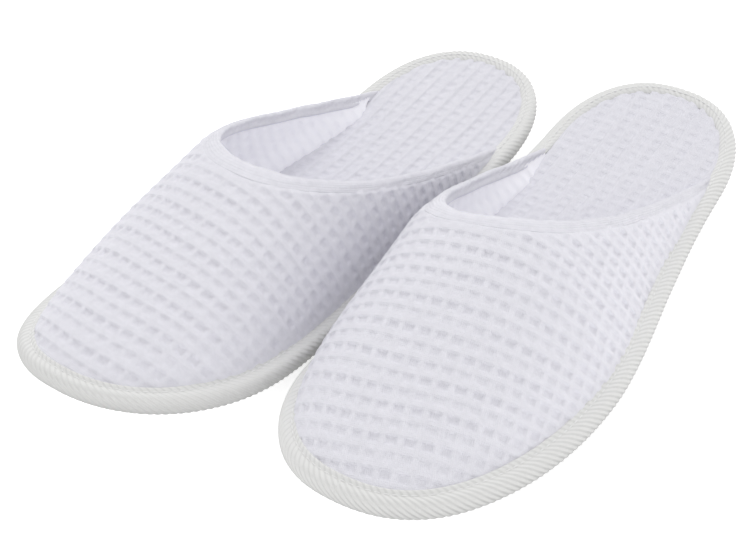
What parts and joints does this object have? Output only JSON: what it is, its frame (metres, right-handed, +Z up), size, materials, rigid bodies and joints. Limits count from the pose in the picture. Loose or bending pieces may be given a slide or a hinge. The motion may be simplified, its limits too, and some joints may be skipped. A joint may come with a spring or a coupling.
{
  "type": "spa slippers",
  "caption": "Pair of closed-toe backless spa slippers: waffle cotton upper and insole on a soft foam sole, the rim bound with twill tape.",
  "frame": {"origin": "on the ground, midway between the two slippers", "axes": "+Z up, toes towards -Y, left slipper at +X and right slipper at -X"},
  "size_m": [0.2046, 0.305, 0.058],
  "materials": {
    "waffle_cotton": "soft white waffle weave cotton, matt",
    "twill_tape": "off-white ribbed twill tape, matt",
    "eva_foam": "white closed-cell foam sheet with an embossed grip pattern, matt",
    "cushion_foam": "white open-cell foam, matt"
  },
  "bodies": {
    "left_slipper": {"left_outsole": "eva_foam", "left_sole_foam": "cushion_foam", "left_insole_cover": "waffle_cotton", "left_edge_binding": "twill_tape", "left_upper_outer": "waffle_cotton", "left_upper_interlining": "cushion_foam", "left_upper_lining": "waffle_cotton", "left_throat_hem": "waffle_cotton"},
    "right_slipper": {"right_outsole": "eva_foam", "right_sole_foam": "cushion_foam", "right_insole_cover": "waffle_cotton", "right_edge_binding": "twill_tape", "right_upper_outer": "waffle_cotton", "right_upper_interlining": "cushion_foam", "right_upper_lining": "waffle_cotton", "right_throat_hem": "waffle_cotton"}
  },
  "joints": [
    {"name": "right_slipper_apart", "type": "slide", "parent": "left_slipper", "child": "right_slipper", "axis": [-1, 0, 0], "range_m": [0, 0.2]}
  ]
}
